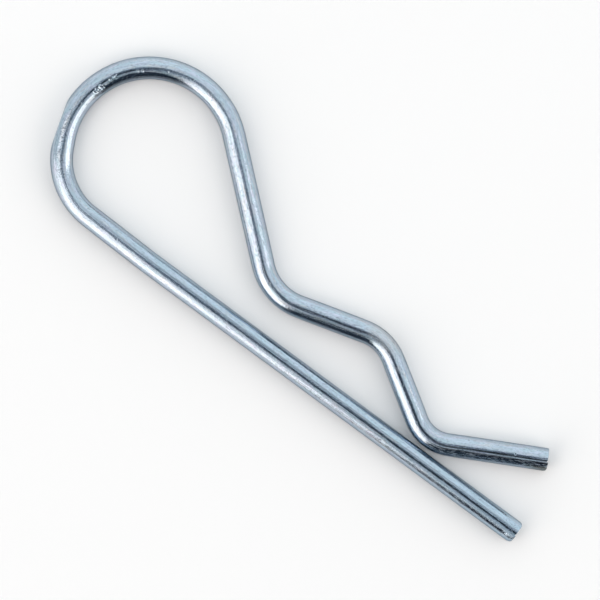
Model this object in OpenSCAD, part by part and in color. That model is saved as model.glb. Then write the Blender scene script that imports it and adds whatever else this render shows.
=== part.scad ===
// Hitch R clip: one length of round spring wire, bent cold in a single plane.
// The straight leg goes through the cross hole of a hitch pin. The arm humps over the outside
// of the pin, nips it against the leg, and opens into a lead-in at its end.
//
// The wire lies in the XY plane. The origin is the centre of the pin seat, where the leg's
// axis crosses the axis of the hitch pin. +X runs along the leg to its tip, and +Y is the
// side that the arm is on. Bend radii are inside radii, those of the forming tools, and the
// wire alternates all the way between straight runs and bends.

/* [Wire] */
// Diameter of the round wire
wire_d = 3; // [1.5:0.1:4]
// Share of a bend's strain, at the wire's skin, that thins the wire there
thinning = 0.12; // [0.08:0.01:0.2]
// Length over which the wire thins, on each side of a bend's start
blend_l = 0.3; // [0.2:0.05:0.35]

/* [Pin seat] */
// Diameter of the hitch pin that the clip holds
pin_d = 16; // [14:0.5:30]
// How much smaller the free seat is than that pin, so that the arm grips it
grip = 0.25; // [0:0.05:1]
// Slope of the run that climbs from the throat to the crest, in degrees
rise_angle = 15.6; // [8:0.1:25]
// Slope of the run that drops from the crest to the nip, in degrees
fall_angle = 32.1; // [25:0.1:40]
// Inside radius of the crest bend
crest_r = 4.8; // [2:0.1:6]

/* [Leg] */
// Length of the leg from the centre of the seat to its tip
leg_front = 30; // [15:0.5:60]
// Inside radius of the slight bend that turns the leg's back end up towards the loop
bow_r = 40; // [25:1:60]
// How far that bend turns, in degrees
bow_turn = 1.4; // [1.4:0.1:6]
// Length of the straight between that bend and the heel
back_l = 9.3; // [2:0.1:20]

/* [Loop] */
// Inside radius of the loop
loop_r = 9.75; // [8:0.05:16]
// Inside radius of the tighter heel between the leg and the loop
heel_r = 7.8; // [3:0.1:9]
// How far the heel turns, in degrees
heel_turn = 62; // [20:1:80]
// Length of the straight between the heel and the loop
waist_l = 1; // [0.8:0.1:6]
// Direction from the loop's centre to the flat that the bending tool pressed into it
flat_angle = 197; // [185:1:205]
// Depth of that flat
flat_depth = 0.4; // [0.1:0.05:0.5]

/* [Arm] */
// Slope of the straight run from the loop down to the throat, in degrees
arm_angle = 40.9; // [35:0.1:50]
// Clear height between the leg and the arm at the throat
throat_gap = 3.7; // [2:0.05:6]
// Inside radius of the throat bend
throat_r = 6; // [2:0.1:9]
// Gap between the leg and the arm at the nip, with nothing in the seat
nip_gap = 0.45; // [0.1:0.05:1.5]
// Inside radius of the nip bend
nip_r = 3.7; // [2:0.1:6]
// Slope of the lead-in away from the leg, in degrees
lead_angle = 27.8; // [15:0.1:45]
// Length of the straight lead-in
lead_l = 13; // [6:0.5:25]

/* [Sheared ends] */
// Radius that the blade rolled onto the upper edge of the leg's tip
leg_roll = 0.45; // [0.1:0.05:0.6]
// Radius that the blade rolled onto the upper edge of the arm's end
arm_roll = 0.15; // [0.1:0.05:0.6]
// Radius that tumbling wore onto the lower edge of the leg's tip
leg_worn = 0.3; // [0.1:0.05:0.6]
// Radius that tumbling wore onto the lower edge of the arm's end
arm_worn = 0.1; // [0.1:0.05:0.6]
// How far below the wire's axis the metal broke away
break_line = 0.2; // [0:0.05:0.5]
// Depth of the crease along the break
crease_depth = 0.12; // [0.05:0.01:0.25]
// How far the broken part stands out past the cut part
burr = 0.08; // [0.02:0.01:0.2]

/* [Hidden] */
$fn = 60;

wire_r = wire_d / 2;

// Radius of the wire in a bend of a given inside radius, thinned by the strain of bending
function bent_r(inside_r) = wire_r * (1 - thinning * wire_r / (inside_r + wire_r));

// Radii of the wire's axis in each bend
bow_axis_r = bow_r + bent_r(bow_r);
heel_axis_r = heel_r + bent_r(heel_r);
loop_axis_r = loop_r + bent_r(loop_r);
throat_axis_r = throat_r + bent_r(throat_r);
crest_axis_r = crest_r + bent_r(crest_r);
nip_axis_r = nip_r + bent_r(nip_r);

// Heights of the arm's axis above the leg's axis: over the seat's centre, measured square to
// either flank of the hump, and at the lowest points of the throat and the nip
seat_h = (pin_d - grip) / 2 + wire_r;
throat_h = wire_r + throat_gap + bent_r(throat_r);
nip_h = wire_r + nip_gap + bent_r(nip_r);

// Slope of the wire between the heel and the loop
waist_angle = bow_turn + heel_turn;

// Unit vectors along a direction, and square to it on its left
function along(angle) = [cos(angle), sin(angle)];
function square_to(angle) = [-sin(angle), cos(angle)];

// Point at height ha over the line through the origin in direction a, and at height hb over
// the line in direction b
function meet(a, ha, b, hb) =
    let (na = square_to(a), nb = square_to(b), det = na.x * nb.y - na.y * nb.x)
    [(ha * nb.y - hb * na.y) / det, (hb * na.x - ha * nb.x) / det];

// The crest bend lies under both flanks of the hump. The throat and the nip each lie over one
// flank, and over their own height above the leg.
crest_c = meet(rise_angle, seat_h - crest_axis_r, -fall_angle, seat_h - crest_axis_r);
throat_c = meet(rise_angle, seat_h + throat_axis_r, 0, throat_h + throat_axis_r);
nip_c = meet(-fall_angle, seat_h + nip_axis_r, 0, nip_h + nip_axis_r);

// Way from the point where the leg's back end starts to bend, to the loop's centre
to_back = [0, bow_axis_r] - bow_axis_r * square_to(-bow_turn);
to_heel = to_back - back_l * along(-bow_turn) + heel_axis_r * square_to(-bow_turn);
to_waist = to_heel - heel_axis_r * square_to(-waist_angle);
to_loop = to_waist - waist_l * along(-waist_angle) + loop_axis_r * square_to(-waist_angle);

// The arm's straight run touches the throat bend from below and the loop from above, which
// sets how far back the loop lies
arm_h = square_to(-arm_angle) * throat_c - throat_axis_r;
loop_c = meet(-arm_angle, arm_h - loop_axis_r, 0, to_loop.y);
leg_back = [loop_c.x - to_loop.x, 0];
bow_c = leg_back + [0, bow_axis_r];
heel_c = leg_back + to_heel;

// Each bend's centre, the radius of the wire's axis round it, and the radius of its wire
bow = [bow_c, bow_axis_r, bent_r(bow_r)];
heel = [heel_c, heel_axis_r, bent_r(heel_r)];
eye = [loop_c, loop_axis_r, bent_r(loop_r)];
throat = [throat_c, throat_axis_r, bent_r(throat_r)];
crest = [crest_c, crest_axis_r, bent_r(crest_r)];
nip = [nip_c, nip_axis_r, bent_r(nip_r)];

// Side on which the wire passes a bend's centre
over = 1;
under = -1;

// Point where the bend ends and a straight run of a given slope starts
function joint(bend, side, slope) = bend[0] + side * bend[1] * square_to(slope);

// Half outline of a run's end that thins into a bend. It carries on past the joint, inside
// the bend's own wire.
function thinned(bend, joint_x, way) = [
    [wire_r, joint_x - way * blend_l],
    [2 * bend[2] - wire_r, joint_x + way * blend_l],
    [0, joint_x + way * blend_l]
];

// Round bar turned from its half outline, lying along +X
module turned_bar(outline) {
    rotate([0, 90, 0]) rotate_extrude() polygon(outline);
}

// Straight wire between two bends
module run(slope, back, back_side, front, front_side) {
    start = joint(back, back_side, slope);
    length = norm(joint(front, front_side, slope) - start);
    rear = thinned(back, 0, -1);
    translate(start) rotate(slope)
        turned_bar(concat([rear[2], rear[1], rear[0]], thinned(front, length, 1)));
}

// Bent wire between two directions from its centre. At both ends it runs on for a little way
// inside the thicker straight wire.
module bent(bend, start, stop) {
    lap = blend_l / bend[1] * 180 / PI;
    translate(bend[0]) rotate(start - lap) rotate_extrude(angle = stop - start + 2 * lap)
        translate([bend[1], 0]) circle(r = bend[2]);
}

// One half of a sheared end in side view: from a height near the axis out past the wire's skin,
// up to a face whose outer corner is round
module lip(face_x, from_y, corner_r) {
    translate([-wire_d, from_y]) square([wire_d + face_x, wire_r - corner_r - from_y]);
    translate([-wire_d, from_y]) square([wire_d + face_x - corner_r, wire_d]);
    translate([face_x - corner_r, wire_r - corner_r]) circle(r = corner_r);
}

// Side view of the wire up to a sheared end. The part below the break line stands out past the
// cut part, which starts a little lower so that the two overlap, and a crease runs between them.
module shear_outline(length, roll, worn) {
    difference() {
        union() {
            lip(length, -break_line - burr, roll);
            mirror([0, 1]) lip(length + burr, break_line, worn);
        }
        translate([length, -break_line]) rotate(45)
            square(sqrt(2) * crease_depth, center = true);
    }
}

// Straight wire from a bend that it passes under, to a sheared end
module sheared_run(slope, back, length, roll, worn) {
    rear = thinned(back, 0, -1);
    stub = length + wire_d;
    translate(joint(back, under, slope)) rotate(slope) intersection() {
        turned_bar([rear[2], rear[1], rear[0], [wire_r, stub], [0, stub]]);
        translate([0, 0, -wire_d]) linear_extrude(2 * wire_d)
            shear_outline(length, roll, worn);
    }
}

// The loop, with the flat that the bending tool left on its outside
module loop() {
    difference() {
        bent(eye, 90 - arm_angle, 270 - waist_angle);
        translate(loop_c) rotate(flat_angle)
            translate([loop_axis_r + eye[2] - flat_depth, -loop_r, -wire_d])
                cube([wire_d, 2 * loop_r, 2 * wire_d]);
    }
}

module clip_wire() {
    color("lightsteelblue") {
        sheared_run(0, bow, leg_front - leg_back.x, leg_roll, leg_worn);
        bent(bow, -90 - bow_turn, -90);
        run(-bow_turn, heel, under, bow, under);
        bent(heel, -90 - waist_angle, -90 - bow_turn);
        run(-waist_angle, eye, under, heel, under);
        loop();
        run(-arm_angle, eye, over, throat, under);
        bent(throat, -90 - arm_angle, -90 + rise_angle);
        run(rise_angle, throat, under, crest, over);
        bent(crest, 90 - fall_angle, 90 + rise_angle);
        run(-fall_angle, crest, over, nip, under);
        bent(nip, -90 - fall_angle, -90 + lead_angle);
        sheared_run(lead_angle, nip, lead_l, arm_roll, arm_worn);
    }
}

clip_wire();
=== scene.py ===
import math
import types

import bpy
import mathutils
import numpy as np
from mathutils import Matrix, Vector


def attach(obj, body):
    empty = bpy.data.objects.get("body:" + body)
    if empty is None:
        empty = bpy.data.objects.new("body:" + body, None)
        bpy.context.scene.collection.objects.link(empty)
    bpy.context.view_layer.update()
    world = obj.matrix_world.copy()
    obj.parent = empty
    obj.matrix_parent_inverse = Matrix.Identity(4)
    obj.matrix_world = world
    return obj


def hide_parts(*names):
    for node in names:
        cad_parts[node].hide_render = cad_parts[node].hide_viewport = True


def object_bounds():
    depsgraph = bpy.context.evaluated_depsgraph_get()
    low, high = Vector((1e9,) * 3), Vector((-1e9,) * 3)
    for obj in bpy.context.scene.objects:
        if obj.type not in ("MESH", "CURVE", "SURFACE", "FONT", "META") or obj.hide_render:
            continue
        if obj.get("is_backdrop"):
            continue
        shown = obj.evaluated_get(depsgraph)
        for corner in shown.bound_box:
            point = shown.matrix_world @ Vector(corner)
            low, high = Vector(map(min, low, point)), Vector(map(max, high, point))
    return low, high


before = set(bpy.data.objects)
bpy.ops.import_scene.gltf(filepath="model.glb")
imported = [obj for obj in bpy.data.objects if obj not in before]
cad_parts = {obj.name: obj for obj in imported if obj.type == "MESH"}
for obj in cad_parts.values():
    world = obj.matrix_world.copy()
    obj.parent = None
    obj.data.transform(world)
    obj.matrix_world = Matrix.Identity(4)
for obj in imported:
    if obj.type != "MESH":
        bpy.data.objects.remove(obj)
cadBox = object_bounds()
mm = 0.001

# The clip's sizes in millimetres and degrees. Bend radii are inside radii.
clipSizes = {
    "wireRadius": 1.5,
    "thinning": 0.12,  # share of a bend's strain, at the wire's skin, that thins the wire
    "blend": 3.0,  # how far the thinning reaches to each side of a bend's start
    "pinDiameter": 16.0,
    "grip": 0.25,  # how much smaller the free seat is than the pin
    "riseAngle": 15.6,  # throat to crest
    "fallAngle": 32.1,  # crest to nip
    "crestRadius": 4.8,
    "legFront": 30.0,  # seat centre to the leg's tip
    "bowRadius": 40.0,
    "bowTurn": 1.4,
    "backLength": 9.3,
    "heelRadius": 7.8,
    "heelTurn": 62.0,
    "waistLength": 1.0,
    "loopRadius": 9.75,
    "armAngle": 40.9,
    "throatGap": 3.7,
    "throatRadius": 6.0,
    "nipGap": 0.45,
    "nipRadius": 3.7,
    "leadAngle": 27.8,
    "leadLength": 13.0,
}


def unit(angle):
    return np.array([math.cos(math.radians(angle)), math.sin(math.radians(angle))])


def leftOf(angle):
    return np.array([-math.sin(math.radians(angle)), math.cos(math.radians(angle))])


def meet(angleA, heightA, angleB, heightB):
    # the point at one height over each of two lines through the origin
    return np.linalg.solve(np.array([leftOf(angleA), leftOf(angleB)]), [heightA, heightB])


def planWire(sizes):
    # the bends in order from the leg's tip, and the two ends of the wire
    radius = sizes["wireRadius"]

    def thinned(inside):
        return radius * (1 - sizes["thinning"] * radius / (inside + radius))

    def axis(inside):
        return inside + thinned(inside)

    rise, fall, arm, lead = (sizes[name + "Angle"] for name in ("rise", "fall", "arm", "lead"))
    bow, heel, loop = axis(sizes["bowRadius"]), axis(sizes["heelRadius"]), axis(sizes["loopRadius"])
    throat, crest, nip = axis(sizes["throatRadius"]), axis(sizes["crestRadius"]), axis(sizes["nipRadius"])
    seat = (sizes["pinDiameter"] - sizes["grip"]) / 2 + radius
    throatHeight = radius + sizes["throatGap"] + thinned(sizes["throatRadius"])
    nipHeight = radius + sizes["nipGap"] + thinned(sizes["nipRadius"])
    crestCentre = meet(rise, seat - crest, -fall, seat - crest)
    throatCentre = meet(rise, seat + throat, 0, throatHeight + throat)
    nipCentre = meet(-fall, seat + nip, 0, nipHeight + nip)
    turn = sizes["bowTurn"]
    waist = turn + sizes["heelTurn"]
    toBack = np.array([0, bow]) - bow * leftOf(-turn)
    toHeel = toBack - sizes["backLength"] * unit(-turn) + heel * leftOf(-turn)
    toLoop = toHeel + (loop - heel) * leftOf(-waist) - sizes["waistLength"] * unit(-waist)
    loopCentre = meet(-arm, leftOf(-arm) @ throatCentre - throat - loop, 0, toLoop[1])
    legBack = np.array([loopCentre[0] - toLoop[0], 0.0])
    # centre, axis radius, wire radius, directions from the centre to the bend's start and end
    bends = {
        "bow": (legBack + [0, bow], bow, thinned(sizes["bowRadius"]), -90, -90 - turn),
        "heel": (legBack + toHeel, heel, thinned(sizes["heelRadius"]), -90 - turn, -90 - waist),
        "loop": (loopCentre, loop, thinned(sizes["loopRadius"]), -90 - waist, -270 - arm),
        "throat": (throatCentre, throat, thinned(sizes["throatRadius"]), -90 - arm, -90 + rise),
        "crest": (crestCentre, crest, thinned(sizes["crestRadius"]), 90 + rise, 90 - fall),
        "nip": (nipCentre, nip, thinned(sizes["nipRadius"]), -90 - fall, -90 + lead),
    }
    tip = np.array([sizes["legFront"], 0.0])
    end = nipCentre + nip * unit(-90 + lead) + sizes["leadLength"] * unit(lead)
    return bends, tip, end


# How closely the points of the axis and the rings of the sweep stand, in millimetres
ringSizes = {
    "segments": 96,
    "axisStep": 0.02,
    "straightStep": 0.27,
    "bendStep": 0.16,
    "bentThinning": 0.003,  # wire that is thinner by this counts as bent
    "markStep": 0.1,  # through the stretch that the bending tool marked
    "markFrom": 77.0,
    "markTo": 106.0,
    "skinRings": [0.8, 0.68, 0.56, 0.45, 0.35, 0.26, 0.18, 0.12, 0.07],  # back from each end
    "edgeRadius": 0.05,
    "edgeRings": 4,
    "faceRings": 24,
    "faceMiddle": 0.012,  # the smallest ring's share of the face
}


def traceAxis(bends, tip, end):
    # fine polyline of the wire's axis with its heading, wire radius and length so far
    points, headings, radii = [], [], []
    fineStep = ringSizes["axisStep"]

    def addRun(first, last):
        across, up = last - first
        heading = math.degrees(math.atan2(up, across))
        steps = max(2, int(np.hypot(across, up) / fineStep))
        for share in np.linspace(0, 1, steps, endpoint=False):
            points.append(first + share * (last - first))
            headings.append(heading)
            radii.append(clipSizes["wireRadius"])

    here = tip
    for centre, axisRadius, wireRadius, start, stop in bends.values():
        addRun(here, centre + axisRadius * unit(start))
        steps = max(2, int(abs(math.radians(stop - start)) * axisRadius / fineStep))
        for angle in np.linspace(start, stop, steps, endpoint=False):
            points.append(centre + axisRadius * unit(angle))
            headings.append(angle + (90 if stop > start else -90))
            radii.append(wireRadius)
        here = centre + axisRadius * unit(stop)
    addRun(here, end)
    points.append(end)
    headings.append(headings[-1])
    radii.append(radii[-1])
    points = np.array(points)
    along = np.concatenate([[0], np.cumsum(np.hypot(*np.diff(points, axis=0).T))])
    # the wire thins smoothly at each end of a bend
    even = np.arange(0, along[-1], fineStep)
    kernel = np.hanning(int(2 * clipSizes["blend"] / fineStep) | 1)
    stepped = np.pad(np.interp(even, along, radii), len(kernel) // 2, mode="edge")
    smooth = np.convolve(stepped, kernel / kernel.sum(), "valid")
    print("axis traced,", round(along[-1], 2), "mm long")
    return {
        "points": points,
        "headings": np.degrees(np.unwrap(np.radians(headings))),
        "radii": np.interp(along, even, smooth),
        "along": along,
    }


def onAxis(axis, lengths):
    # places on the axis at given lengths from the leg's tip
    return np.column_stack([np.interp(lengths, axis["along"], axis["points"][:, k]) for k in (0, 1)])


def skinPlaces(axis):
    # where along the axis each ring of the skin stands
    total, back = axis["along"][-1], ringSizes["skinRings"][0]
    bent = axis["radii"] < clipSizes["wireRadius"] - ringSizes["bentThinning"]
    places, here = [], back
    while here < total - back:
        places.append(here)
        if ringSizes["markFrom"] < here < ringSizes["markTo"]:
            here += ringSizes["markStep"]
        elif np.interp(here, axis["along"], bent) > 0.5:
            here += ringSizes["bendStep"]
        else:
            here += ringSizes["straightStep"]
    places[-1] = total - back
    return np.array(places)


def edgeTurns():
    # how far round the edge, from the skin to the face, each of its rings stands
    return np.linspace(0, 90, ringSizes["edgeRings"] + 1)


def endRings():
    # one end's rings, from the skin round the edge to the middle of the face: how far back from
    # the end each stands, and its share of the wire's radius
    edge, number = ringSizes["edgeRadius"], ringSizes["faceRings"]
    rings = [(back, 1.0) for back in ringSizes["skinRings"][1:]]
    for turn in np.radians(edgeTurns()):
        share = 1 - edge / clipSizes["wireRadius"] * (1 - math.cos(turn))
        rings.append((edge * (1 - math.sin(turn)), share))
    inner = rings[-1][1]
    rings += [(0.0, inner * (1 - k / number)) for k in range(1, number)]
    return rings + [(0.0, inner * ringSizes["faceMiddle"])]


def nodeMaker(tree):
    # returns a function that adds a node and links or sets its inputs
    def put(kind, values=None, **settings):
        node = tree.nodes.new(kind)
        for key, value in settings.items():
            setattr(node, key, value)
        for key, value in (values or {}).items():
            if isinstance(value, bpy.types.NodeSocket):
                tree.links.new(value, node.inputs[key])
            else:
                node.inputs[key].default_value = value
        return node

    return put


def addSockets(tree, inputs, outputs):
    for way, sockets in (("INPUT", inputs), ("OUTPUT", outputs)):
        for name, kind in sockets.items():
            tree.interface.new_socket(name, in_out=way, socket_type="NodeSocket" + kind)


def buildSweep():
    # one tree that sweeps a round section along the axis and lets the skin wander a little
    tree = bpy.data.node_groups.new("drawnWire", "GeometryNodeTree")
    sizes = {"Segments": "Int", "Waviness": "Float", "Wave Length": "Float", "Seed": "Float"}
    addSockets(tree, {"Axis": "Geometry", **sizes, "Finish": "Material"}, {"Wire": "Geometry"})
    put = nodeMaker(tree)
    given = put("NodeGroupInput").outputs

    def kept(name, kind):
        return put("GeometryNodeInputNamedAttribute", {"Name": name}, data_type=kind).outputs["Attribute"]

    curve = put("GeometryNodeMeshToCurve", {"Mesh": given["Axis"]}).outputs[0]
    upright = put("GeometryNodeSetCurveNormal", {"Curve": curve}, mode="Z_UP").outputs[0]
    section = {"Resolution": given["Segments"], "Radius": 1.0}
    circle = put("GeometryNodeCurvePrimitiveCircle", section, mode="RADIUS").outputs["Curve"]
    # the sweep hands on each point's place on the round section, and the noise goes by that
    stored = {"Geometry": circle, "Name": "spoke", "Value": put("GeometryNodeInputPosition").outputs[0]}
    store = put("GeometryNodeStoreNamedAttribute", stored, data_type="FLOAT_VECTOR", domain="POINT")
    swept = {"Curve": upright, "Profile Curve": store.outputs[0], "Fill Caps": True}
    swept["Scale"] = kept("ringRadius", "FLOAT")
    wire = put("GeometryNodeCurveToMesh", swept).outputs[0]
    # long, slow noise along the wire that differs from side to side
    spoke = put("ShaderNodeSeparateXYZ", {0: kept("spoke", "FLOAT_VECTOR")}).outputs
    waves = {0: kept("along", "FLOAT"), 1: given["Wave Length"]}
    waves = put("ShaderNodeMath", waves, operation="DIVIDE").outputs[0]
    where = put("ShaderNodeCombineXYZ", {"X": waves, "Y": spoke["X"], "Z": spoke["Y"]}).outputs[0]
    noise = {"Vector": where, "W": given["Seed"], "Scale": 1.0, "Detail": wireFinish["waveDetail"]}
    noise = put("ShaderNodeTexNoise", noise, noise_dimensions="4D").outputs["Fac"]
    centred = put("ShaderNodeMath", {0: noise, 1: 0.5}, operation="SUBTRACT").outputs[0]
    amount = put("ShaderNodeMath", {0: centred, 1: given["Waviness"]}, operation="MULTIPLY").outputs[0]
    normal = put("GeometryNodeInputNormal").outputs[0]
    push = put("ShaderNodeVectorMath", {0: normal, "Scale": amount}, operation="SCALE").outputs[0]
    wavy = put("GeometryNodeSetPosition", {"Geometry": wire, "Offset": push}).outputs[0]
    smooth = put("GeometryNodeSetShadeSmooth", {"Geometry": wavy}).outputs[0]
    real = put("GeometryNodeRealizeInstances", {"Geometry": smooth}).outputs[0]
    finished = put("GeometryNodeSetMaterial", {"Geometry": real, "Material": given["Finish"]}).outputs[0]
    put("NodeGroupOutput", {"Wire": finished})
    return tree


def sweepWire(axis, places, shares, material):
    # draws one ring of the wire at each place along the axis, and returns a plain mesh
    path = bpy.data.meshes.new("wireAxis")
    edges = [(k, k + 1) for k in range(len(places) - 1)]
    path.from_pydata([(x * mm, y * mm, 0) for x, y in onAxis(axis, places)], edges, [])
    ringRadius = np.interp(places, axis["along"], axis["radii"]) * shares
    path.attributes.new("ringRadius", "FLOAT", "POINT").data.foreach_set("value", ringRadius * mm)
    path.attributes.new("along", "FLOAT", "POINT").data.foreach_set("value", places)
    line = bpy.data.objects.new("wireAxis", path)
    bpy.context.collection.objects.link(line)
    sweep = line.modifiers.new("sweep", "NODES")
    sweep.node_group = buildSweep()
    values = {
        "Segments": ringSizes["segments"],
        "Waviness": wireFinish["waviness"] * mm,
        "Wave Length": wireFinish["waveLength"],
        "Seed": wireFinish["waveSeed"],
        "Finish": material,
    }
    for socket in sweep.node_group.interface.items_tree:
        if socket.name in values:
            sweep[socket.identifier] = values[socket.name]
    mesh = bpy.data.meshes.new_from_object(line.evaluated_get(bpy.context.evaluated_depsgraph_get()))
    bpy.data.objects.remove(line)
    mesh.name = "clipWire"
    print("wire swept,", len(mesh.vertices), "points in", len(places), "rings")
    return mesh


def readSkin(mesh, axis):
    # where every point lies, in millimetres: in the scene, and along, across and over the wire
    count = len(mesh.vertices)
    place, length = np.empty(count * 3), np.empty(count)
    mesh.vertices.foreach_get("co", place)
    mesh.attributes["along"].data.foreach_get("value", length)
    place = place.reshape(-1, 3) / mm
    heading = np.radians(np.interp(length, axis["along"], axis["headings"]))
    inward = np.c_[np.sin(heading), -np.cos(heading)]  # to the side inside the loop
    return {
        "place": place,
        "length": length,
        "forward": np.c_[np.cos(heading), np.sin(heading)],
        "inward": inward,
        "side": ((place[:, :2] - onAxis(axis, length)) * inward).sum(1),
        "height": place[:, 2].copy(),
    }


# The marks of the bending tool and of the blade, in millimetres and degrees. A dent's place is
# its length along the axis from the leg's tip, and its way round the wire from the top, inwards
# positive. Then come its length, its width and its depth.
markSizes = {
    "flatAngle": 197.0,
    "flatDepth": 0.4,
    "flatSoftness": 0.03,
    "flatReach": 8.0,  # to each side of its middle
    "legRoll": 0.45,
    "armRoll": 0.15,
    "legWorn": 0.3,
    "armWorn": 0.1,
    "breakLine": 0.2,
    "creaseDepth": 0.12,
    "burr": 0.08,
    # on the faces, the depth of the cut part's streaks and of the torn part's roughness, and how
    # much each changes in a millimetre across and up
    "cutStreaks": 0.012,
    "cutScale": (0.4, 5.0, 0),
    "tornRoughness": 0.03,
    "tornScale": (2.6, 2.2, 0),
    "faceSeeds": (3.7, 8.1),
    # the edge is rounder where the metal tore: its radius, and in shares of the wire's radius,
    # where that begins and how long it takes
    "tornEdgeRadius": 0.4,
    "tornFrom": -0.3,
    "tornBlend": 0.4,
    # patches of chatter, placed as the dents are
    "chatter": [
        (78.8, -0.15, 2.4, 0.75, 0.006),
        (84.6, 0.20, 2.6, 0.35, 0.004),
        (90.5, 0.40, 3.6, 0.45, 0.004),
    ],
    # its ripples: how much they change in a millimetre along and round, seed, share
    "ripples": [((3.4, 0.9, 1), 1.3, 1.0), ((3.0, 3.2, 1), 5.9, 0.7)],
    "rippleSink": 0.5,
    "dents": [
        (88.5, 0.62, 0.30, 0.26, 0.085),
        (87.9, 0.95, 0.22, 0.22, 0.065),
        (90.2, 0.40, 0.20, 0.20, 0.060),
        (90.75, 0.20, 0.26, 0.20, 0.060),
        (94.05, 0.46, 0.17, 0.22, 0.070),
        (94.65, 0.48, 0.17, 0.22, 0.070),
        (98.1, 0.34, 0.16, 0.16, 0.040),
    ],
    # groups of smaller ones: middle, spread, how many, size, depth
    "dentGroups": [
        ((88.3, 0.88), (0.45, 0.32), 15, 0.19, 0.070),
        ((90.6, 0.32), (0.35, 0.14), 6, 0.15, 0.045),
        ((85.8, 0.42), (1.20, 0.10), 6, 0.12, 0.020),
    ],
    "seed": 11,
    "sizeRange": (0.7, 1.4),
    "depthRange": (0.6, 1.2),
    "dentPower": 1.5,  # the higher, the more pointed
    # the rim raised round a dent: its share of the depth, and its place and width in dent sizes
    "rim": (0.22, 1.15, 0.25),
    # how far the torn side of the tip swells up, and over what length; then, in shares of the
    # wire's radius, its middle and width across the wire and the height at which it is full
    "swell": 0.10,
    "swellLength": 1.35,
    "swellPower": 1.3,
    "swellMiddle": -0.62,
    "swellWidth": 0.27,
    "swellHeight": 0.6,
}


def ripple(points, scale, seed):
    # smooth noise between -1 and 1 at each point
    stretched = points * np.asarray(scale) + seed
    return np.array([mathutils.noise.noise(mathutils.Vector(p)) for p in stretched])


def endFace(across, height, roll, worn):
    # how far the sheared face stands out, from the rolled side of the wire to the torn side
    marks, radius = markSizes, clipSizes["wireRadius"]
    burr, breakLine = marks["burr"], marks["breakLine"]
    out = np.zeros_like(across)
    above = across > radius - roll
    out[above] = -roll + np.sqrt(np.maximum(roll**2 - (across[above] - (radius - roll)) ** 2, 0))
    low = across < -breakLine
    out[low] = burr
    below = across < -(radius - worn)
    out[below] = burr - worn + np.sqrt(np.maximum(worn**2 - (across[below] + (radius - worn)) ** 2, 0))
    depth = marks["creaseDepth"] - np.abs(across + breakLine)
    out = np.where(depth > 0, np.minimum(out, -depth), out)
    place = np.c_[across, height, np.zeros_like(across)]
    cutSeed, tornSeed = marks["faceSeeds"]
    cut = marks["cutStreaks"] * (ripple(place, marks["cutScale"], cutSeed) - 1)
    torn = marks["tornRoughness"] * (ripple(place, marks["tornScale"], tornSeed) - 1)
    return out + np.where(low, torn, cut)


def shearEnds(skin, axis, places, rings):
    # moves the rings of both ends to where the blade left them, and returns where every point
    # lies on the straight wire: along, across and over it
    marks, radius = markSizes, clipSizes["wireRadius"]
    sharp, reach = ringSizes["edgeRadius"], ringSizes["skinRings"][0]
    place, side, height = skin["place"], skin["side"], skin["height"]
    # a ring's lengths come back from the mesh a little rounded
    ring = np.searchsorted(places, skin["length"] - 1e-4).clip(0, len(places) - 1)
    front, behind = len(rings), len(places) - len(rings)
    isTip, isEnd = ring < front, ring >= behind
    index = np.where(isTip, front - 1 - ring, ring - behind).clip(0, front - 1)
    rolledSide = np.where(isTip, side, -side)

    # the skin's edge is rounder where the metal tore
    torn = np.clip((marks["tornFrom"] - rolledSide / radius) / marks["tornBlend"], 0, 1)
    edgeRadius = sharp + (marks["tornEdgeRadius"] - sharp) * torn * torn * (3 - 2 * torn)
    skinSteps = len(ringSizes["skinRings"]) - 1
    turns = edgeTurns()
    turn = np.radians(np.interp(index, skinSteps + np.arange(len(turns)), turns))
    rounder = (1 - edgeRadius / radius * (1 - np.cos(turn))) / (1 - sharp / radius * (1 - np.cos(turn)))
    ends = isTip | isEnd
    for values in (side, height, rolledSide):
        values[ends] *= rounder[ends]
    place[ends, 2] = height[ends]

    # the skin's rings are spread out to reach the face, and the others follow it
    back = np.array(rings)[index, 0]
    spread = edgeRadius + (back - sharp) * (reach - edgeRadius) / (reach - sharp)
    tipFace = endFace(rolledSide, height, marks["legRoll"], marks["legWorn"])
    face = np.where(isTip, tipFace, endFace(rolledSide, height, marks["armRoll"], marks["armWorn"]))
    onSkin = (reach - spread) / reach * (reach + face) - reach
    onFace = face - np.where(back > 0, edgeRadius * (1 - np.sin(turn)), 0)
    pulled = np.where(index < skinSteps, onSkin, onFace)

    straight = np.c_[skin["length"], side, height]
    for mask, k, way in ((isTip, 0, -1), (isEnd, -1, 1)):
        out = way * pulled[mask]
        middle = axis["points"][k] + out[:, None] * skin["forward"][mask]
        place[mask, :2] = middle + side[mask, None] * skin["inward"][mask]
        straight[mask, 0] = axis["along"][k] + out
    print("ends sheared")
    return straight


def pressFlat(skin, loop):
    # the flat that the bending tool pressed into the outside of the loop
    place, softness = skin["place"], markSizes["flatSoftness"]
    centre, axisRadius, wireRadius = loop[:3]
    toFlat, alongFlat = unit(markSizes["flatAngle"]), leftOf(markSizes["flatAngle"])
    fromCentre = place[:, :2] - centre
    over = fromCentre @ toFlat - (axisRadius + wireRadius - markSizes["flatDepth"])
    # a soft limit, held where its exponential neither overflows nor vanishes
    kept = -softness * np.log1p(np.exp(np.clip(-over / softness, -60, 60)))
    near = (over > -6 * softness) & (np.abs(fromCentre @ alongFlat) < markSizes["flatReach"])
    place[:, :2] += np.where(near, kept - over, 0.0)[:, None] * toFlat
    print("flat pressed")


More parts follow.
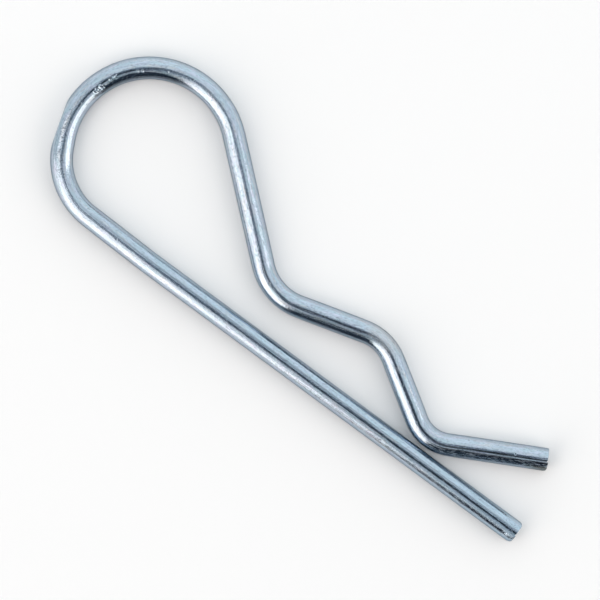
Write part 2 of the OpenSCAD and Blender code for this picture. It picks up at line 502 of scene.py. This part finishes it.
def scatterDents():
    # the dents placed one by one, and the groups of smaller ones
    rng = np.random.default_rng(markSizes["seed"])
    dents = list(markSizes["dents"])
    for middle, spread, number, size, deep in markSizes["dentGroups"]:
        for at, way in rng.normal(middle, spread, (number, 2)):
            long, wide = size * rng.uniform(*markSizes["sizeRange"], 2)
            dents.append((at, way, long, wide, deep * rng.uniform(*markSizes["depthRange"])))
    return dents


def dentSkin(skin, axis):
    # dents and chatter that the same tool left further round, and the swelling of the torn tip
    marks, radius = markSizes, clipSizes["wireRadius"]
    place, length, side, height = (skin[name] for name in ("place", "length", "side", "height"))
    flat = np.zeros(len(length))
    spoke = place - np.c_[onAxis(axis, length), flat]
    spoke /= np.maximum(np.linalg.norm(spoke, axis=1), 1e-6)[:, None]
    ways = np.arctan2(side, height) * radius  # way round from the top
    sink = flat.copy()
    dents = scatterDents()
    rimShare, rimPlace, rimWidth = marks["rim"]
    for at, way, long, wide, deep in dents:
        out = np.sqrt(((length - at) / long) ** 2 + ((ways - way) / wide) ** 2)
        rim = rimShare * deep * np.exp(-(((out - rimPlace) / rimWidth) ** 2))
        sink += deep * np.clip(1 - out**2, 0, 1) ** marks["dentPower"] - rim
    swell = marks["swell"] * np.clip(1 - length / marks["swellLength"], 0, 1) ** marks["swellPower"]
    swell *= np.exp(-(((side / radius - marks["swellMiddle"]) / marks["swellWidth"]) ** 2))
    sink -= swell * np.clip(height / radius / marks["swellHeight"], 0, 1)
    for at, way, long, wide, deep in marks["chatter"]:
        part = np.exp(-(((length - at) / long) ** 2) - ((ways - way) / wide) ** 2)
        marked = np.flatnonzero(part > 0.02)  # the rest of a patch is too faint to see
        where = np.c_[length, ways, flat][marked]
        bumps = sum(share * ripple(where, scale, seed) for scale, seed, share in marks["ripples"])
        sink[marked] += deep * part[marked] * (bumps + marks["rippleSink"])
    place -= sink[:, None] * spoke
    print("skin marked,", len(dents), "dents")


def buildWire(axis, loop, material):
    skinRings, rings = skinPlaces(axis), endRings()
    # the ends' rings start a hair apart beyond the skin, and move when the ends are sheared
    beyond = ringSizes["axisStep"] * np.arange(1, len(rings) + 1)
    places = np.concatenate([(skinRings[0] - beyond)[::-1], skinRings, skinRings[-1] + beyond])
    endShares = np.array(rings)[:, 1]
    shares = np.concatenate([endShares[::-1], np.ones(len(skinRings)), endShares])
    mesh = sweepWire(axis, places, shares, material)
    skin = readSkin(mesh, axis)
    straight = shearEnds(skin, axis, places, rings)
    pressFlat(skin, loop)
    dentSkin(skin, axis)
    mesh.vertices.foreach_set("co", (skin["place"] * mm).ravel())
    for name in ("spoke", "along", "ringRadius"):
        if name in mesh.attributes:
            mesh.attributes.remove(mesh.attributes[name])
    straightPlace = mesh.attributes.new("straightPlace", "FLOAT_VECTOR", "POINT")
    straightPlace.data.foreach_set("vector", straight.ravel())
    mesh.update()
    piece = bpy.data.objects.new("clipWire", mesh)
    bpy.context.collection.objects.link(piece)
    return piece


# The bright zinc on the drawn wire, in millimetres. Places along the wire are lengths from the
# leg's tip. Places across it are distances from its axis, positive on the side inside the loop.
# Levels are the two values between which something rises, and then, if they aren't 0 and 1, the
# values that it rises from and to.
wireFinish = {
    "waviness": 0.012,
    "waveLength": 9.0,
    "waveDetail": 1.5,
    "waveSeed": 3.0,
    # streaks of the whole skin: how often they change in a millimetre along and across, seed,
    # detail, share of the bump
    "streaks": {
        "fine": (0.07, 6.5, 1.0, 3.0, 0.55),
        "broad": (0.025, 1.9, 2.0, 3.0, 1.3),
        "broken": (0.55, 5.0, 3.0, 3.0, 0.6),
        "mottle": (0.85, 1.7, 4.0, 4.0, 0.5),
        "grain": (5.5, 5.5, 5.0, 2.0, 0.7),
    },
    "streakRoughness": 0.6,
    "streakSpread": (0.25, 0.75),
    # marks taken from such streaks: the first four again, then where between 0 and 1 a mark
    # begins and is full, and how far it slants in degrees
    "marks": {
        "hue": (0.5, 1.4, 6.0, 4.0, 0.35, 0.65, 0),
        "scratch": (0.35, 8.0, 7.0, 1.0, 0.83, 0.95, 14),
        "crossScratch": (0.5, 9.0, 8.0, 1.0, 0.87, 0.97, -32),
        "violet": (0.6, 1.9, 10.0, 4.0, 0.45, 0.9, 0),
        "straw": (0.4, 2.2, 11.0, 4.0, 0.55, 1.0, 0),
        "scuff": (0.1, 3.6, 12.0, 2.0, 0.25, 0.75, 0),
        "dust": (2.6, 5.2, 13.0, 2.0, 0.5, 1.0, 0),
        "gap": (1.6, 4.2, 14.0, 3.0, 0.36, 0.56, 0),
        "rub": (1.3, 7.5, 15.0, 2.0, 0.57, 0.67, 0),
    },
    # pits: their scale, their edge, and the choice that leaves most of them out
    "pitScale": 0.62,
    "pitEdge": (0.03, 0.10),
    "pitChoice": (0.66, 0.72),
    # stretches of the wire: where each begins, is full, starts to fade and ends
    "stretches": {
        # the first stretch holds the painted dark reflection near the leg's tip
        "tipLine": (1.5, 1.9, 7.0, 22.0),
        "toolMark": (74.6, 75.2, 80.6, 86.0),
        "loopTop": (86.5, 88.5, 99.5, 103.0),
        "hump": (132.0, 134.0, 146.0, 148.0),
        "haze": (144.0, 145.4, 148.0, 150.2),
    },
    "leadIn": (160.5, 162.5),  # runs on to the arm's end
    # the mark of the bending tool: its middle, how far from it the mark starts to fade and ends,
    # its height over the axis, and the ticks in it
    "toolBand": (-0.14, 0.15, 0.62),
    "toolHeight": (0.2, 0.6),
    "ticks": (4.5, 1.5, 9.0, 4.0),
    "tickLevels": (0.56, 0.68),
    "speckLevels": (0.58, 0.7),
    # scuffs where pins rub
    "scuffSide": (-0.1, 0.1),
    "humpScuff": 0.6,
    # bluer, on the leg's inner side and most at its tip
    "blueLegLevels": (58.0, 70.0, 0.3, 0.0),
    "blueSideLevels": (-0.2, 0.3, 0.1, 1.0),
    "blueTipLevels": (8.0, 24.0, 0.5, 0.0),
    # hazy plating on the crest
    "hazeSide": (0.1, 0.5),
    "hazeLevels": (0.2, 0.7, 0.6, 1.0),
    "bareEnd": 0.12,  # how far the bare ends reach, and how unevenly
    # the die's line along the leg, and a broken painted dark reflection near the tip
    "dieLine": (0.14, 0.22, 0.38, 0.48),
    "dieLineEnd": (67.0, 72.0),
    "dieLineLevels": (0.2, 0.8, 0.3, 0.6),
    "tipBand": (-0.86, 0.10, 0.22),
    "tipHeight": (0.2, 0.5),
    "tipGapLevels": (0.0, 1.0, 0.25, 1.0),
    # dark lines on the lead-in: their band, their turn in a millimetre in radians, their wander
    "darkLines": (-0.02, 0.08, 0.75, 0.95),
    "linePitch": 16.1,
    "lineLevels": (-0.1, 0.7),
    "wander": (0.16, 2.4, 12.0, 3.0),
    "wanderLevels": (0.0, 1.0, -4.9, -2.3),
    "humpLines": 0.2,
    "rubSide": (0.25, 0.4),
    # painted dark reflection on the inside of the wire: its inner and outer side, and how much further in
    # it lies on the loop's top
    "oilSide": (0.90, 1.02),
    "oilOutLevels": (1.12, 1.26, 1.0, 0.25),
    "oilShift": 0.12,
    "oilHeight": (-0.6, 0.1),
    "oilLevels": (0.1, 0.8, 0.95, 0.7),
    "oilRubbedOff": 0.8,
    "greaseFromEnd": (2.6, 0.8),
    "greaseSide": (0.75, 1.15),
    "coldZinc": (0.48, 0.60, 0.68, 1),
    "blueZinc": (0.51, 0.60, 0.70, 1),
    "violetZinc": (0.57, 0.61, 0.73, 1),
    "legZinc": (0.445, 0.60, 0.715, 1),
    "strawZinc": (0.60, 0.61, 0.62, 1),
    "soot": (0.16, 0.19, 0.23, 1),
    "edgeTint": (0.32, 0.35, 0.38, 1),
    "bareSteel": (0.33, 0.34, 0.35, 1),
    # colour of the painted dark reflection near the leg's tip
    "blueOil": (0.02, 0.035, 0.075, 1),
    # old oil in the lead-in's lines, and the painted dark reflection on the inside of the wire
    "oldOil": (0.05, 0.06, 0.075, 1),
    "oldGrease": (0.12, 0.12, 0.085, 1),
    # colours over the cold zinc, each over those before it: where, colour, share
    "layers": [
        ("hue", "blueZinc", 1.0),
        ("violet", "violetZinc", 1.0),
        ("straw", "strawZinc", 1.0),
        ("blue", "legZinc", 1.0),
        ("haze", "strawZinc", 0.7),
        ("broken", "soot", 0.35),
        ("dust", "soot", 0.4),
        ("flaws", "soot", 0.5),
        ("specks", "soot", 0.8),
        ("bare", "bareSteel", 0.8),
        ("dieLine", "soot", 1.0),
        # painted dark reflection near the leg's tip
        ("tipLine", "blueOil", 0.95),
        ("lines", "oldOil", 0.7),
        # painted dark reflection on the inside of the loop's top, the hump and the lead-in
        ("oil", "oldOil", 1.0),
        ("grease", "oldGrease", 0.6),
    ],
    # roughness of the mottled skin, and what broken streaks, marks, rubs and haze add to it
    "skinRoughLevels": (0.2, 0.8, 0.03, 0.06),
    "brokenRoughLevels": (0.3, 0.9, 0.0, 0.04),
    "markRough": 0.2,
    "rubRough": 0.4,
    "hazeRough": 0.25,
    "bumpDepth": 0.010,
    # the marks' shares of the bump, beside the streaks' own
    "markBumps": {"scratches": -0.4, "pits": -2.2, "toolTicks": -1.2, "scuffed": 1.5},
}


def drawnStreaks():
    # noise drawn out along the wire, spread over 0 to 1
    group = bpy.data.node_groups.new("drawnStreaks", "ShaderNodeTree")
    numbers = {name: "Float" for name in ("Along", "Across", "Detail", "Seed")}
    addSockets(group, {"Place": "Vector", "Turn": "Vector", **numbers}, {"Value": "Float"})
    put = nodeMaker(group)
    given = put("NodeGroupInput").outputs
    scales = {"X": given["Along"], "Y": given["Across"], "Z": given["Across"]}
    scales = put("ShaderNodeCombineXYZ", scales).outputs[0]
    turned = {"Vector": given["Place"], "Rotation": given["Turn"]}
    turned = put("ShaderNodeVectorRotate", turned, rotation_type="EULER_XYZ").outputs[0]
    drawn = put("ShaderNodeVectorMath", {0: turned, 1: scales}, operation="MULTIPLY").outputs[0]
    noise = {"Vector": drawn, "W": given["Seed"], "Scale": 1.0, "Detail": given["Detail"]}
    noise["Roughness"] = wireFinish["streakRoughness"]
    noise = put("ShaderNodeTexNoise", noise, noise_dimensions="4D").outputs["Fac"]
    low, high = wireFinish["streakSpread"]
    spread = put("ShaderNodeMapRange", {"Value": noise, "From Min": low, "From Max": high})
    put("NodeGroupOutput", {"Value": spread.outputs[0]})
    return group


def finishTools(tree):
    # short names for what a finish is painted with
    put = nodeMaker(tree)
    streaks = drawnStreaks()
    place = put("ShaderNodeAttribute", attribute_name="straightPlace").outputs["Vector"]

    def single(operation, value):
        return put("ShaderNodeMath", {0: value}, operation=operation).outputs[0]

    def chain(operation):
        # returns a function that works on any number of values, from left to right
        def work(result, *others):
            for value in others:
                result = put("ShaderNodeMath", {0: result, 1: value}, operation=operation).outputs[0]
            return result

        return work

    times = chain("MULTIPLY")

    def ramp(value, low, high, start=0.0, stop=1.0):
        ranges = {"From Min": low, "From Max": high, "To Min": start, "To Max": stop}
        return put("ShaderNodeMapRange", {"Value": value, **ranges}).outputs[0]

    def fade(value, low, high):
        return ramp(value, low, high, 1.0, 0.0)

    def band(value, begins, full, fades, ends):
        return times(ramp(value, begins, full), fade(value, fades, ends))

    def streak(along, across, seed, detail, slant=0):
        values = {"Place": place, "Along": along, "Across": across, "Seed": seed, "Detail": detail}
        values["Turn"] = (0, 0, math.radians(slant))
        return put("ShaderNodeGroup", values, node_tree=streaks).outputs[0]

    def mark(along, across, seed, detail, low, high, slant):
        return ramp(streak(along, across, seed, detail, slant), low, high)

    def blend(amount, under, over):
        return put("ShaderNodeMix", {0: amount, 6: under, 7: over}, data_type="RGBA").outputs[2]

    return types.SimpleNamespace(
        put=put, place=place, single=single, times=times, ramp=ramp, fade=fade, band=band,
        streak=streak, mark=mark, blend=blend, plus=chain("ADD"), minus=chain("SUBTRACT"),
        most=chain("MAXIMUM"), least=chain("MINIMUM"),
    )


def findMasks(paint, wireLength):
    # where each streak and mark lies on the wire, by its name
    look, times, ramp, fade = wireFinish, paint.times, paint.ramp, paint.fade
    along, inward, up = paint.put("ShaderNodeSeparateXYZ", {0: paint.place}).outputs
    masks = {name: paint.streak(*values[:4]) for name, values in look["streaks"].items()}
    masks.update({name: paint.mark(*values) for name, values in look["marks"].items()})
    on = {name: paint.band(along, *places) for name, places in look["stretches"].items()}
    leadIn = ramp(along, *look["leadIn"])

    def nearMiddle(middle, fades, ends):
        return fade(paint.single("ABSOLUTE", paint.minus(inward, middle)), fades, ends)

    # small pits, scattered and in groups
    cells = {"Vector": paint.place, "Scale": look["pitScale"], "Randomness": 1.0}
    cells = paint.put("ShaderNodeTexVoronoi", cells).outputs
    chosen = paint.put("ShaderNodeSeparateColor", {0: cells["Color"]}).outputs[0]
    masks["pits"] = times(fade(cells["Distance"], *look["pitEdge"]), ramp(chosen, *look["pitChoice"]))
    masks["scratches"] = paint.most(masks["scratch"], masks["crossScratch"])
    masks["flaws"] = paint.most(masks["scratches"], masks["pits"])

    # the mark that the bending tool rubbed into the top of the loop
    rubbed = times(nearMiddle(*look["toolBand"]), ramp(up, *look["toolHeight"]), on["toolMark"])
    ticks = paint.streak(*look["ticks"])
    masks["toolTicks"] = times(ticks, rubbed)
    specks = paint.most(ramp(ticks, *look["tickLevels"]), ramp(masks["grain"], *look["speckLevels"]))
    masks["specks"] = times(rubbed, specks)

    # the hump and the lead-in rub on pins, so their drawn lines are scuffed
    worn = paint.most(times(on["hump"], look["humpScuff"]), leadIn)
    masks["scuffed"] = times(masks["scuff"], ramp(inward, *look["scuffSide"]), worn)

    # bluer on the leg, more on its inner side and most at its tip; the plating is hazy where the crest
    # stretched it
    blueLeg = times(ramp(along, *look["blueLegLevels"]), ramp(inward, *look["blueSideLevels"]))
    masks["blue"] = paint.most(blueLeg, ramp(along, *look["blueTipLevels"]))
    haze = times(on["haze"], fade(inward, *look["hazeSide"]))
    masks["haze"] = times(haze, ramp(masks["broken"], *look["hazeLevels"]))

    # the blade left no zinc on the ends
    fromEnds = paint.least(along, paint.minus(wireLength, along))
    fromEnds = paint.plus(fromEnds, times(masks["grain"], look["bareEnd"]))
    masks["bare"] = fade(fromEnds, 0.0, look["bareEnd"])

    # a line that the die drew along the leg, and a broken painted dark reflection on its outer side near
    # the tip, over the lamp stand's own reflection
    dieLine = times(paint.band(inward, *look["dieLine"]), fade(along, *look["dieLineEnd"]))
    masks["dieLine"] = times(dieLine, ramp(masks["fine"], *look["dieLineLevels"]))
    tipLine = times(nearMiddle(*look["tipBand"]), on["tipLine"])
    broken = times(ramp(up, *look["tipHeight"]), ramp(masks["gap"], *look["tipGapLevels"]))
    masks["tipLine"] = times(tipLine, broken)

    # scuffed lines, dark between bright, on the lead-in's inner side and faintly on the hump's
    wander = ramp(paint.streak(*look["wander"]), *look["wanderLevels"])
    waves = paint.single("SINE", paint.plus(times(inward, look["linePitch"]), wander))
    lines = times(fade(waves, *look["lineLevels"]), paint.band(inward, *look["darkLines"]))
    masks["lines"] = times(lines, paint.most(leadIn, times(on["hump"], look["humpLines"])))
    # thin scratches that stay bright in those lines
    masks["rubs"] = times(leadIn, ramp(inward, *look["rubSide"]), masks["rub"])

    # painted dark reflection along the inside of the loop's top, the hump and the lead-in
    shifted = paint.minus(inward, times(on["loopTop"], look["oilShift"]))
    oilBand = times(ramp(inward, *look["oilSide"]), ramp(shifted, *look["oilOutLevels"]))
    oily = paint.most(on["loopTop"], paint.most(on["hump"], leadIn))
    oily = times(oilBand, ramp(up, *look["oilHeight"]), oily)
    oily = times(oily, paint.minus(1.0, times(masks["rubs"], look["oilRubbedOff"])))
    masks["oil"] = times(oily, ramp(masks["broken"], *look["oilLevels"]))

    # a little grease by the arm's end
    begins, full = (wireLength - back for back in look["greaseFromEnd"])
    masks["grease"] = times(ramp(along, begins, full), ramp(inward, *look["greaseSide"]))
    return masks


def paintZinc(wireLength):
    look = wireFinish
    material = bpy.data.materials.new("zincWire")
    material.use_nodes = True
    tree = material.node_tree
    shader = tree.nodes["Principled BSDF"]
    paint = finishTools(tree)
    masks = findMasks(paint, wireLength)
    times, ramp, most, plus = paint.times, paint.ramp, paint.most, paint.plus

    color = look["coldZinc"]
    for name, over, share in look["layers"]:
        color = paint.blend(times(masks[name], share), color, look[over])
    tree.links.new(color, shader.inputs["Base Color"])

    marked = times(most(masks["scratches"], masks["specks"], masks["bare"]), look["markRough"])
    dulled = plus(times(masks["rubs"], look["rubRough"]), times(masks["haze"], look["hazeRough"]))
    streaked = ramp(masks["broken"], *look["brokenRoughLevels"])
    rough = plus(ramp(masks["mottle"], *look["skinRoughLevels"]), streaked, marked, dulled)
    tree.links.new(rough, shader.inputs["Roughness"])

    shares = {name: values[4] for name, values in look["streaks"].items()}
    shares.update(look["markBumps"])
    height = plus(*[times(masks[name], share) for name, share in shares.items()])
    bump = {"Strength": 1.0, "Distance": look["bumpDepth"] * mm, "Height": height}
    bump = paint.put("ShaderNodeBump", bump).outputs[0]
    tree.links.new(bump, shader.inputs["Normal"])

    shader.inputs["Metallic"].default_value = 1.0
    shader.inputs["Specular Tint"].default_value = look["edgeTint"]
    print("zinc painted,", len(look["layers"]), "colours over the first")
    return material


# The studio in millimetres, along the camera view's own right, up and height
studio = {
    "middle": (-10.43, 7.70),
    "turn": 36.394,
    "cameraHeight": 500.0,
    "field": 77.63,
    "sensor": 36.0,
    # the room's light, and how much brighter it is to the right, to the back and overhead
    "roomColor": (0.94, 1.0, 1.03, 1),
    "roomLevel": 0.78,
    "roomSlope": (0.08, 0.40, 0.10),
    "floor": (0.935, 0.932, 0.928, 1),
    "floorRoughness": 0.5,
    "floorReach": 3000,
    # direction round and down from the zenith, distance, width, height, roll, radiance
    "softBoxes": {
        "leftBox": (216, 57, 987, 715, 2190, -26, 0.83),
        "rightBox": (341, 74, 657, 740, 940, 1, 1.12),
        "sideBox": (210, 72, 997, 1040, 1035, -45, 0.80),
    },
    "boxColor": (1.14, 1.0, 0.92),
    # a dark cloth that narrows towards its top: its foot's left, right and depth, then its top's,
    # with the height
    "clothFoot": (-478, 689, -626),
    "clothTop": (-55, 176, -534, 722),
    "clothColor": (0.036, 0.048, 0.066, 1),
    # a dark stand beside it: left, right, depth, lowest and highest
    "stand": (-392, -310, -600, 0, 430),
    # the camera's own dark front over the object, and the dim hood round it
    "hoodMiddle": (18, -74),
    "frontRadius": 90,
    "frontHeight": 510,
    "frontColor": (0.035, 0.045, 0.055, 1),
    "hoodRadius": 166,
    "hoodHeight": 512,
    "hoodColor": (0.27, 0.31, 0.37, 1),
}


def viewPlace(right, up, height):
    turn = math.radians(studio["turn"])
    x, y = studio["middle"]
    return mathutils.Vector((
        (x + right * math.cos(turn) - up * math.sin(turn)) * mm,
        (y + right * math.sin(turn) + up * math.cos(turn)) * mm,
        height * mm,
    ))


def softBox(name, around, down, distance, width, height, roll, radiance):
    lamp = bpy.data.lights.new(name, "AREA")
    lamp.shape = "RECTANGLE"
    lamp.size, lamp.size_y = width * mm, height * mm
    lamp.energy = radiance * math.pi * lamp.size * lamp.size_y  # watts that give that radiance
    lamp.color = studio["boxColor"]
    box = bpy.data.objects.new(name, lamp)
    around, down, roll = (math.radians(angle) for angle in (around, down, roll))
    away = (math.sin(down) * math.cos(around), math.sin(down) * math.sin(around), math.cos(down))
    away = mathutils.Vector(away)
    level = mathutils.Vector((-math.sin(around), math.cos(around), 0))
    steep = (-away).cross(level)
    wide = -(math.cos(roll) * level + math.sin(roll) * steep)
    tall = math.cos(roll) * steep - math.sin(roll) * level
    spin = mathutils.Matrix.Rotation(math.radians(studio["turn"]), 3, "Z")
    stance = mathutils.Matrix((spin @ wide, spin @ tall, spin @ away)).transposed().to_4x4()
    stance.translation = viewPlace(*(distance * away))
    box.matrix_world = stance
    box.visible_camera = False
    bpy.context.collection.objects.link(box)


def sheet(name, corners, finish):
    # one flat face with a new material, whose nodes are returned
    mesh = bpy.data.meshes.new(name)
    mesh.from_pydata([viewPlace(*c) for c in corners], [], [tuple(range(len(corners)))])
    piece = bpy.data.objects.new(name, mesh)
    bpy.context.collection.objects.link(piece)
    material = bpy.data.materials.new(finish)
    material.use_nodes = True
    mesh.materials.append(material)
    piece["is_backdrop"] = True
    return piece, material.node_tree


def card(name, corners, color):
    # a sheet that gives off its colour and isn't seen by the camera
    piece, tree = sheet(name, corners, name)
    piece.visible_camera = False
    tree.nodes.remove(tree.nodes["Principled BSDF"])
    glow = tree.nodes.new("ShaderNodeEmission")
    glow.inputs["Color"].default_value = color
    tree.links.new(glow.outputs[0], tree.nodes["Material Output"].inputs["Surface"])


def roundCard(name, radius, height, color):
    x, y = studio["hoodMiddle"]
    turns = [math.radians(angle) for angle in range(0, 360, 6)]
    rim = [(x + radius * math.cos(turn), y + radius * math.sin(turn), height) for turn in turns]
    card(name, rim, color)


def layFloor():
    reach = studio["floorReach"]
    under = -clipSizes["wireRadius"] - wireFinish["waviness"] / 2
    corners = [(x * reach, y * reach, under) for x, y in ((-1, -1), (1, -1), (1, 1), (-1, 1))]
    shader = sheet("floor", corners, "paleFloor")[1].nodes["Principled BSDF"]
    shader.inputs["Base Color"].default_value = studio["floor"]
    shader.inputs["Roughness"].default_value = studio["floorRoughness"]


def lightRoom():
    # soft light from all round, brighter towards one side
    world = bpy.data.worlds.new("studioWorld")
    world.use_nodes = True
    put = nodeMaker(world.node_tree)
    right, back, overhead = studio["roomSlope"]
    slope = viewPlace(right / mm, back / mm, 0) - viewPlace(0, 0, 0) + mathutils.Vector((0, 0, overhead))
    way = put("ShaderNodeTexCoord").outputs["Generated"]
    along = put("ShaderNodeVectorMath", {0: way, 1: slope}, operation="DOT_PRODUCT").outputs["Value"]
    level = put("ShaderNodeMath", {0: along, 1: studio["roomLevel"]}, operation="ADD").outputs[0]
    sky = world.node_tree.nodes["Background"]
    sky.inputs["Color"].default_value = studio["roomColor"]
    world.node_tree.links.new(level, sky.inputs["Strength"])
    bpy.context.scene.world = world


def setCamera():
    camera = bpy.data.cameras.new("camera")
    camera.sensor_width = studio["sensor"]
    camera.lens = studio["sensor"] * studio["cameraHeight"] / studio["field"]
    camera.clip_start = 10 * mm
    view = bpy.data.objects.new("camera", camera)
    view.location = viewPlace(0, 0, studio["cameraHeight"])
    view.rotation_euler = (0, 0, math.radians(studio["turn"]))
    bpy.context.collection.objects.link(view)
    bpy.context.scene.camera = view


def buildStudio():
    bpy.context.scene.view_settings.view_transform = "Standard"
    lightRoom()
    layFloor()
    for name, values in studio["softBoxes"].items():
        softBox(name, *values)
    ground = -clipSizes["wireRadius"]
    left, right, foot = studio["clothFoot"]
    topLeft, topRight, topUp, top = studio["clothTop"]
    cloth = [(left, foot, ground), (right, foot, ground), (topRight, topUp, top), (topLeft, topUp, top)]
    card("darkCloth", cloth, studio["clothColor"])
    left, right, depth, low, high = studio["stand"]
    stand = [(left, depth, low), (right, depth, low), (right, depth, high), (left, depth, high)]
    card("lampStand", stand, studio["clothColor"])
    roundCard("cameraFront", studio["frontRadius"], studio["frontHeight"], studio["frontColor"])
    roundCard("cameraHood", studio["hoodRadius"], studio["hoodHeight"], studio["hoodColor"])
    setCamera()
    print("studio set")


bends, tip, end = planWire(clipSizes)
axis = traceAxis(bends, tip, end)
zinc = paintZinc(round(axis["along"][-1], 2))
wire = buildWire(axis, bends["loop"], zinc)
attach(wire, "root")
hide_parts("clip_wire")
buildStudio()
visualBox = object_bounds()
print("boxes", [tuple(round(v / mm, 3) for v in c) for c in (*cadBox, *visualBox)])
